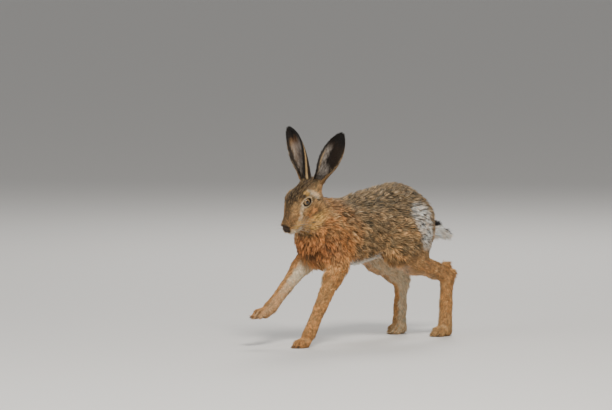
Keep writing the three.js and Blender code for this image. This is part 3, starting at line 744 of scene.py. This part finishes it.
def triangle_mesh(name, co, corners):
    mesh = bpy.data.meshes.new(name)
    mesh.vertices.add(len(co))
    mesh.loops.add(len(corners))
    mesh.polygons.add(len(corners) // 3)
    mesh.loops.foreach_set("vertex_index", corners.astype(np.int32))
    mesh.polygons.foreach_set("loop_start", np.arange(0, len(corners), 3, dtype=np.int32))
    put(mesh, co)
    return mesh


def tuft_mesh(name, form, root, normal, lie, length, width, lift, lean, colours, uv):
    """One joined mesh of tapered, three-sided tufts. colours runs from root to tip."""
    count = len(root)
    side = np.cross(normal, lie)
    per = len(form["along"]) * 3 + 1
    co = np.empty((count, per, 3))
    paint = np.empty((count, per, 3))
    flat = np.empty((count, per, 2))
    spread = ((-0.5, 0), (0.5, 0), (0, 0.35))
    base = root - normal * (SINK * MM)

    def spine(s):
        rise = lift * s * (1.55 - 0.75 * s)
        run = lie * (length * s)[:, None] + normal * (length * rise + SINK * s)[:, None]
        return base + run * MM + lean * (s**1.3)[:, None]

    for ring, (s, wide) in enumerate(zip(form["along"], form["wide"])):
        middle = spine(np.full(count, s))
        for corner, (out, up) in enumerate(spread):
            reach = (width * wide * MM)[:, None]
            co[:, ring * 3 + corner] = middle + side * reach * out + normal * reach * up
            flat[:, ring * 3 + corner] = (out * PATCH, (s - 0.5) * PATCH)
            paint[:, ring * 3 + corner] = colours(s)
    co[:, -1] = spine(np.ones(count))
    co[..., 2] = np.maximum(co[..., 2], FLOOR_GAP)
    flat[:, -1] = (0, PATCH / 2)
    paint[:, -1] = colours(1.0)
    corners = (np.arange(count)[:, None, None] * per + tuft_faces(form)).reshape(-1)
    mesh = triangle_mesh(name, co.reshape(-1, 3), corners)
    paint_points(mesh, paint.reshape(-1, 3))
    place = np.clip(uv[:, None] + flat, 0.001, 0.999).reshape(-1, 2)[corners]
    mesh.uv_layers.new(name="OFBake").data.foreach_set("uv", place.astype(np.float32).ravel())
    piece = bpy.data.objects.new(name, mesh)
    scene.collection.objects.link(piece)
    mesh.validate()
    return piece


TRIANGLES_A_PIECE = 195000


def in_pieces(name, form, *columns, colours, shades):
    """The tufts in as many pieces as keep each one under the limit."""
    most = TRIANGLES_A_PIECE // len(tuft_faces(form))
    total = len(columns[0])
    parts = max(1, math.ceil(total / most))
    made = []
    for part in range(parts):
        keep = slice(part * total // parts, (part + 1) * total // parts)
        label = name if parts == 1 else f"{name}_{part + 1}"
        *most_columns, uv = [column[keep] for column in columns]
        tint, tick = colours[keep], shades[keep]

        def ramp(s, tint=tint, tick=tick):
            low = tint * (ROOT_SHADE + TIP_GAIN * s)
            dark = (tick * ease(np.full(len(tick), s), 0.55, 1.0))[:, None]
            return low * (1 - dark) + TINT["black"] * dark

        made.append(tuft_mesh(label, form, *most_columns, ramp, uv))
    return made


def turned(lie, normal, angle):
    """The lie turned about the normal."""
    side = np.cross(normal, lie)
    return lie * np.cos(angle)[:, None] + side * np.sin(angle)[:, None]


# Each coat piece: the runs it takes in and the form of its tufts. THICK scales the runs' numbers of
# tufts, and the ears and lids have their own number on a mm2. Legs and paws have calmer locks.
REGIONS = {
    "coat_head": (("face",), SHORT), "coat_neck": (("neck",), LONG), "coat_chest": (("chest",), LONG),
    "coat_flank": (("flank",), LONG), "coat_back": (("back",), LONG), "coat_belly": (("belly",), LONG),
    "coat_rump": (("rump",), LONG), "coat_haunch": (("haunch",), LONG), "coat_tail": (("tail",), LONG),
    "coat_legs": (("leg",), SHORT), "coat_paws": (("paw",), SHORT),
}
THICK = 0.96
EAR_HAIRS = 0.8
LID_HAIRS = 3.2
CALM = 0.4
LOCK_LEAN = 0.5


def locks(root, normal, lie, reach, draw):
    """Draws the tufts into locks: each one's lean to its lock, its nearness and the lock's shade."""
    seeds = np.nonzero(draw.random(len(root)) < 1 / np.maximum(reach[1], 1))[0]
    tree = KDTree(len(seeds))
    for i, seed in enumerate(seeds):
        tree.insert(root[seed], i)
    tree.balance()
    own = np.array([tree.find(place)[1] for place in root])
    lean = root[seeds][own] - root
    lean += lie * (0.5 * reach[0] * MM)[:, None]
    lean -= normal * np.sum(lean * normal, axis=1, keepdims=True)
    far = np.linalg.norm(lean, axis=1) / MM
    lean *= np.minimum(1, 1.2 * reach[0] / np.maximum(far, 1e-6))[:, None]
    return lean, 1 - np.clip(far / (1.3 * reach[0]), 0, 1), draw.normal(0, 1, len(seeds))[own]


def shaded(colour, bright, warm):
    """The tufts' tints: brighter or darker, with the painted shade at the edges of locks, warmer or
    cooler, and never past white.
    """
    tint = colour * bright[:, None] * (1 + np.stack([warm, np.zeros(len(warm)), -warm], axis=1))
    tint *= 1 + 0.4 * tint.mean(axis=1, keepdims=True)
    return tint * np.minimum(1, 0.9 / tint.max(axis=1, keepdims=True))


def body_coat(skin):
    """The coat of the body, head and legs. A tuft has the colour of the place where its middle lies."""
    draw = np.random.default_rng(SEED["coat"])

    def number_at(p, n):
        h = in_head(p)
        eyes = 1 - ease(eye_ring(mirrored(h)), 1.3, 1.5)
        nose = near(h, *SPOT["bare nose"])
        grown = coat_at(p, n)[1][3] * THICK
        return grown * (1 - eyes) * (1 - nose) * (p[:, 2] > 1.2)

    root, normal, uv = sown(skin.data, number_at, draw)
    p = animal(root)
    lie, (length, width, lift, grown), run = coat_at(p, normal)
    count = len(p)
    smooth = ease(length, 5, 12)
    angle = np.radians(26 * waves(p * arr(0.6, 1, 1), 19, 31) * (0.3 + smooth) + draw.normal(0, 6, count))
    lie = turned(lie, normal, angle)
    colour, tick = body_colours(p + lie * (0.6 * length)[:, None], normal)
    across = (2.6 + 3.6 * smooth) * np.where(p[:, 0] < -172, 0.5, 1)
    lean, close, shade = locks(root, normal, lie, (across, grown * across**2 * 1.1), draw)
    length = length * draw.uniform(0.75, 1.12, count) * (0.85 + 0.3 * close)
    lift = lift * (0.62 + 0.75 * close) * draw.uniform(0.85, 1.15, count)
    width = width * draw.uniform(0.5, 0.95, count)
    names = np.array([kind for kind, *_ in RUNS])[run]
    even = np.where(np.isin(names, ("leg", "paw")), CALM, 1)
    lean *= even[:, None]
    bright = np.exp((0.15 + 0.12 * smooth) * even * shade + (0.1 + 0.2 * even) * draw.normal(size=count))
    # Painted shade: tufts toward a lock's edge are darker, for the shade in the partings between locks
    bright *= 0.92 + even * (0.86 * close - 0.4)
    warm = draw.normal(0, 0.05, count) + 0.05 * shade
    tint = shaded(colour, bright, warm)
    tick = tick * draw.choice([0.05, 0.6, 1.0], count, p=[0.4, 0.3, 0.3])
    fleck = (tick > 0.55) & (even == 1) & (draw.random(count) < 0.3)
    tint[fleck] = blend(tint, TINT["buff"], np.full(count, 0.5))[fleck]
    tick[fleck] = 0
    made = []
    for label, (kinds, form) in REGIONS.items():
        keep = np.isin(names, kinds)
        columns = [root, normal, lie, length, width, lift, lean * LOCK_LEAN, uv]
        columns = [column[keep] for column in columns]
        made += in_pieces(label, form, *columns, colours=tint[keep], shades=tick[keep])
    return made


def ear_coat(ear, name, side):
    """Short hairs along an ear, longer on its lower edges and in the cup's root."""
    draw = np.random.default_rng(SEED["ears"] + side)
    root, normal, uv = sown(ear.data, lambda p, n: np.full(len(p), EAR_HAIRS), draw)
    p = animal(root)
    t, cup, inward = ear_place(p, name)
    keep = t > 0.02
    root, normal, uv, p, t, cup, inward = (v[keep] for v in (root, normal, uv, p, t, cup, inward))
    inside = ease(np.sum(normal * inward, axis=1), -0.2, 0.3)
    lie = np.tile(ear_axes(name)[0], (len(p), 1))
    lie = lie - normal * np.sum(lie * normal, axis=1, keepdims=True)
    lie /= np.linalg.norm(lie, axis=1, keepdims=True)
    lie = turned(lie, normal, np.radians(draw.normal(0, 10, len(p))))
    edge = ease(np.abs(cup), 0.85, 1) * (1 - ease(t, 0.6, 0.85))
    deep = inside * (1 - ease(t, 0.3, 0.6))
    length = (3.6 + 2.5 * edge + 6 * deep) * draw.uniform(0.7, 1.2, len(p))
    width = draw.uniform(0.7, 1.2, len(p))
    lift = 0.2 * draw.uniform(0.6, 1.4, len(p))
    colour, tick = ear_colours(p, normal, name)
    tint = colour * draw.uniform(0.7, 1.25, len(p))[:, None]
    lean = np.zeros((len(p), 3))
    return in_pieces(f"coat_ear_{name}", SHORT, root, normal, lie, length, width, lift, lean, uv,
                     colours=tint, shades=tick * draw.random(len(p)))


# Eyes

def eye_ball(name, side):
    """An eyeball with its pole on the gaze, a raised front and a painted iris."""
    place = world(on_head(EYE, side))
    gaze = Vector(gaze_of(side))
    bpy.ops.mesh.primitive_uv_sphere_add(segments=64, ring_count=40, radius=EYE_RADIUS * MM)
    ball = bpy.context.object
    ball.name = f"eyeball_{name}"
    ball.rotation_euler = gaze.to_track_quat("Z", "Y").to_euler()
    ball.location = place
    only(ball)
    bpy.ops.object.transform_apply(location=True, rotation=True, scale=True)
    co = places(ball.data)
    off = (co - place) / (EYE_RADIUS * MM)
    front = ease(off @ np.array(gaze), 0.72, 0.94)
    put(ball.data, co + (co - place) * (0.05 * front)[:, None])
    bpy.ops.object.shade_smooth()
    angle = np.arccos(np.clip(off @ np.array(gaze), -1, 1)) * EYE_RADIUS
    amber, rim, dark = rgb("8e7048"), rgb("463527"), rgb("040303")
    colour = np.tile(amber, (len(co), 1))
    colour = blend(colour, rim, ease(angle, 5.2, 6.3))
    colour = blend(colour, dark, ease(angle, 6.4, 7.1))
    colour = blend(colour, dark, 1 - ease(angle, 3.0, 3.6))
    paint_points(ball.data, colour, "Iris")
    return ball


# Rows of the lids from the wet edge out: share of the opening, height over the eye's face, colour.
# The face round the eye is a ball of FACE_RADIUS whose centre lies FACE_BACK behind the eye's.
LID_ROWS = (
    (0.78, -0.5, "black"), (0.88, 0.15, "black"), (0.97, 0.7, "black"), (1.07, 0.95, "black"),
    (1.16, 0.85, "buff"), (1.28, 0.3, "buff"), (1.5, -1.6, "buff"),
)
LID_STEPS = 72
LID_THICK = 0.0005
FACE_RADIUS, FACE_BACK = 20, 11.4


def lids(name, side):
    """A closed rim round the eye, from its wet edge out to the skin."""
    gaze, ahead, up = eye_axes()
    co, paint, faces = [], [], []
    for share, height, tint in LID_ROWS:
        for i in range(LID_STEPS):
            a = 2 * math.pi * i / LID_STEPS
            across = LIDS[0] * share * math.cos(a)
            above = LIDS[1] * share * math.copysign(abs(math.sin(a)) ** 1.25, math.sin(a))
            far = math.hypot(across, above)
            face = math.sqrt(FACE_RADIUS**2 - far**2) - FACE_BACK
            if share < 0.95:
                face = min(face, math.sqrt(max(EYE_RADIUS**2 - far**2, 0.5)) + 0.2)
            brow = 0.9 * max(math.sin(a), 0) if share < 1.2 else 0
            place = arr(*EYE) + gaze * (face + height + brow) + ahead * across
            place = place + up * (above - 0.7 * brow)
            co.append(world(on_head(place, side)))
            paint.append(TINT[tint])
    for row in range(len(LID_ROWS) - 1):
        for i in range(LID_STEPS):
            a, b = row * LID_STEPS + i, row * LID_STEPS + (i + 1) % LID_STEPS
            face = (a, b, b + LID_STEPS, a + LID_STEPS)
            faces.append(face if side < 0 else face[::-1])
    mesh = bpy.data.meshes.new(f"lids_{name}")
    mesh.from_pydata([tuple(place) for place in co], [], faces)
    paint_points(mesh, np.array(paint))
    piece = bpy.data.objects.new(f"lids_{name}", mesh)
    scene.collection.objects.link(piece)
    only(piece)
    bpy.ops.object.mode_set(mode="EDIT")
    bpy.ops.mesh.select_all(action="SELECT")
    bpy.ops.mesh.normals_make_consistent(inside=False)
    bpy.ops.object.mode_set(mode="OBJECT")
    apply_modifier(piece, "SOLIDIFY", thickness=LID_THICK, offset=-1)
    bpy.ops.object.shade_smooth()
    unwrap(piece)
    return piece


def lid_coat(piece, name, side):
    """Fine hairs on the lids, pointing away from the eye."""
    draw = np.random.default_rng(SEED["lids"] + side)

    def number_at(p, n):
        ring = eye_ring(mirrored(in_head(p)))
        return LID_HAIRS * ease(ring, 1.1, 1.16) * (n @ gaze_of(side) > 0.1)

    root, normal, uv = sown(piece.data, number_at, draw)
    p = animal(root)
    lie = p - on_head(EYE, side)
    lie += coat_at(p, normal)[0] * 6
    lie -= normal * np.sum(lie * normal, axis=1, keepdims=True)
    lie /= np.linalg.norm(lie, axis=1, keepdims=True)
    lie = turned(lie, normal, np.radians(draw.normal(0, 12, len(p))))
    colour, tick = body_colours(p, normal)
    length = draw.uniform(2.2, 3.6, len(p))
    width, lift = np.full(len(p), 0.6), np.full(len(p), 0.3)
    tint = colour * draw.uniform(0.75, 1.15, len(p))[:, None]
    lean = np.zeros((len(p), 3))
    return in_pieces(f"coat_lids_{name}", SHORT, root, normal, lie, length, width, lift, lean, uv,
                     colours=tint, shades=tick)


# Whiskers and claws

def nearest_on(piece):
    return BVHTree.FromObject(piece, bpy.context.evaluated_depsgraph_get()).find_nearest


def bristles(name, roots, ways, lengths, thick, droop):
    """Fine tapered bristles, each a bent cone of four sides."""
    sides, steps = 4, 7
    co, faces = [], []
    for root, way, length in zip(roots, ways, lengths):
        start = len(co)
        way = way / np.linalg.norm(way)
        side = np.cross(way, arr(0, 0, 1))
        side /= np.linalg.norm(side)
        over = np.cross(side, way)
        for step in range(steps):
            s = step / steps
            middle = root + way * length * s - arr(0, 0, droop * length) * s * s
            for k in range(sides):
                a = 2 * math.pi * k / sides
                co.append(middle + (side * math.cos(a) + over * math.sin(a)) * thick * (1 - 0.8 * s))
        co.append(root + way * length - arr(0, 0, droop * length))
        for step in range(steps - 1):
            for k in range(sides):
                a, b = start + step * sides + k, start + step * sides + (k + 1) % sides
                faces.append((a, b, b + sides, a + sides))
        top = start + (steps - 1) * sides
        faces += [(top + k, top + (k + 1) % sides, start + steps * sides) for k in range(sides)]
        faces.append(tuple(start + k for k in reversed(range(sides))))
    mesh = bpy.data.meshes.new(name)
    mesh.from_pydata([tuple(point) for point in world(np.array(co))], [], faces)
    piece = bpy.data.objects.new(name, mesh)
    scene.collection.objects.link(piece)
    return piece


WHISKER = dict(thick=0.14, droop=0.16)
MUZZLE_HAIR, BROW_HAIR = (26, 58), (18, 30)
ROOT_DEPTH = 0.8


def whiskers(nearest):
    """Four rows on each side of the muzzle and three hairs over each eye."""
    draw = np.random.default_rng(SEED["whiskers"])
    roots, ways, lengths = [], [], []

    def add(place, way, length):
        hit, normal, _, _ = nearest(Vector(world(place)))
        roots.append(animal(np.array(hit)) - np.array(normal) * ROOT_DEPTH)
        ways.append(way)
        lengths.append(length)

    for side in SIDES.values():
        for row in range(4):
            for k in range(5):
                place = on_head((49 - 4.2 * k, 12, -6 - 3.4 * row), side)
                way = head_way((-0.35 - 0.12 * k, 0, -0.16 * row + 0.1)) + arr(0, side, 0)
                add(place, way + draw.normal(0, 0.12, 3), draw.uniform(*MUZZLE_HAIR))
        for k in range(3):
            place = on_head((6 - 6 * k, 22, 27), side)
            way = head_way((-0.3, 0, 0.9)) + arr(0, 0.8 * side, 0)
            add(place, way + draw.normal(0, 0.1, 3), draw.uniform(*BROW_HAIR))
    return bristles("whiskers", roots, ways, lengths, **WHISKER)


# How far each toe reaches along its foot, and a claw's length
TOE_REACH = (0.74, 1, 0.97, 0.7)
CLAW_LENGTH = 8.5
CLAW = dict(thick=1.5, droop=0.12)


def claws(name):
    """Four claws on each of a side's two feet."""
    j = {key: arr(*place) for key, place in JOINT[name].items()}
    roots, ways = [], []
    for first, last, spread in FEET:
        root, tips = j[first], j[last]
        ahead = (tips - root) / np.linalg.norm(tips - root)
        across = np.cross(arr(0, 0, 1), tips - root)
        across /= np.linalg.norm(across)
        for i, reach in enumerate(TOE_REACH):
            shift = (i / 3 - 0.5) * spread * SIDES[name]
            end = root + (tips - root) * reach + across * shift
            end[2] = tips[2] + 1.5
            roots.append(end + ahead * 2.2)
            ways.append(ahead)
    return bristles(f"claws_{name}", roots, ways, [CLAW_LENGTH] * len(roots), **CLAW)


# Finishes

def finish_of(name, roughness, scale):
    """A material with a fine grain on Object coordinates, its colour still to be linked."""
    paint = bpy.data.materials.new(name)
    paint.use_nodes = True
    nodes, links = paint.node_tree.nodes, paint.node_tree.links
    shader = nodes["Principled BSDF"]
    shader.inputs["Roughness"].default_value = roughness
    where = nodes.new("ShaderNodeTexCoord")
    grain = nodes.new("ShaderNodeTexNoise")
    grain.inputs["Detail"].default_value = 6
    grain.inputs["Scale"].default_value = scale
    links.new(where.outputs["Object"], grain.inputs["Vector"])
    return paint, nodes, links, shader, grain


def grained(nodes, links, shader, grain, layer, low, high):
    """The points' own colours, made lighter and darker by the grain."""
    coat = nodes.new("ShaderNodeVertexColor")
    coat.layer_name = layer
    level = nodes.new("ShaderNodeMapRange")
    level.inputs["To Min"].default_value = low
    level.inputs["To Max"].default_value = high
    mix = nodes.new("ShaderNodeVectorMath")
    mix.operation = "SCALE"
    links.new(grain.outputs["Fac"], level.inputs["Value"])
    links.new(coat.outputs["Color"], mix.inputs[0])
    links.new(level.outputs["Result"], mix.inputs["Scale"])
    links.new(mix.outputs["Vector"], shader.inputs["Base Color"])


def fur_finish(name, scale, strength):
    paint, nodes, links, shader, grain = finish_of(name, 0.7, scale)
    shader.inputs["Sheen Weight"].default_value = 0.04
    shader.inputs["Specular IOR Level"].default_value = 0.15
    grained(nodes, links, shader, grain, "Coat", 0.78, 1.22)
    bump = nodes.new("ShaderNodeBump")
    bump.inputs["Strength"].default_value = strength
    bump.inputs["Distance"].default_value = 0.0006
    links.new(grain.outputs["Fac"], bump.inputs["Height"])
    links.new(bump.outputs["Normal"], shader.inputs["Normal"])
    return paint


def eye_finish():
    paint, nodes, links, shader, grain = finish_of("wet eye", 0.06, 900)
    shader.inputs["Coat Weight"].default_value = 0.4
    shader.inputs["Coat Roughness"].default_value = 0.02
    grained(nodes, links, shader, grain, "Iris", 0.6, 1.4)
    return paint


def horn_finish(name, dark, light, roughness):
    paint, nodes, links, shader, grain = finish_of(name, roughness, 300)
    ramp = nodes.new("ShaderNodeValToRGB")
    ramp.color_ramp.elements[0].color = (*rgb(dark), 1)
    ramp.color_ramp.elements[1].color = (*rgb(light), 1)
    links.new(grain.outputs["Fac"], ramp.inputs["Fac"])
    links.new(ramp.outputs["Color"], shader.inputs["Base Color"])
    return paint


def dress(piece, paint, slot, *nodes):
    piece.data.materials.clear()
    piece.data.materials.append(paint)
    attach(piece, "root")
    if nodes:
        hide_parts(*nodes)


# The slot of each coat piece, by the second word of its name. All others are coat_back.
SLOT = {
    "head": "coat_face", "neck": "coat_chest", "chest": "coat_chest", "tail": "tail",
    "legs": "coat_leg", "paws": "coat_leg",
}


def hare():
    """All visible pieces, each riding on the one body."""
    skin_paint = fur_finish("skin under the coat", 900, 0.6)
    fur_paint = fur_finish("hare fur", 260, 0.1)
    lid_paint = fur_finish("lids", 500, 0.2)
    skin = body_skin()
    dress(skin, skin_paint, "coat_back", *FLESH)
    for piece in body_coat(skin):
        dress(piece, fur_paint, SLOT.get(piece.name.split("_")[1], "coat_back"))
    for name, side in SIDES.items():
        ear = ear_skin(name)
        dress(ear, skin_paint, "ear", f"ear_{name}")
        for piece in ear_coat(ear, name, side):
            dress(piece, fur_paint, "ear")
        dress(eye_ball(name, side), eye_finish(), "eye", f"eye_{name}")
        rim = lids(name, side)
        dress(rim, lid_paint, "eye")
        for piece in lid_coat(rim, name, side):
            dress(piece, fur_paint, "coat_face")
        dress(claws(name), horn_finish("claw horn", "1c1512", "4a3a2e", 0.4), "claw")
    hairs = whiskers(nearest_on(skin))
    dress(hairs, horn_finish("whisker", "2a221c", "d8d0c4", 0.5), "coat_face")


studio()
hare()
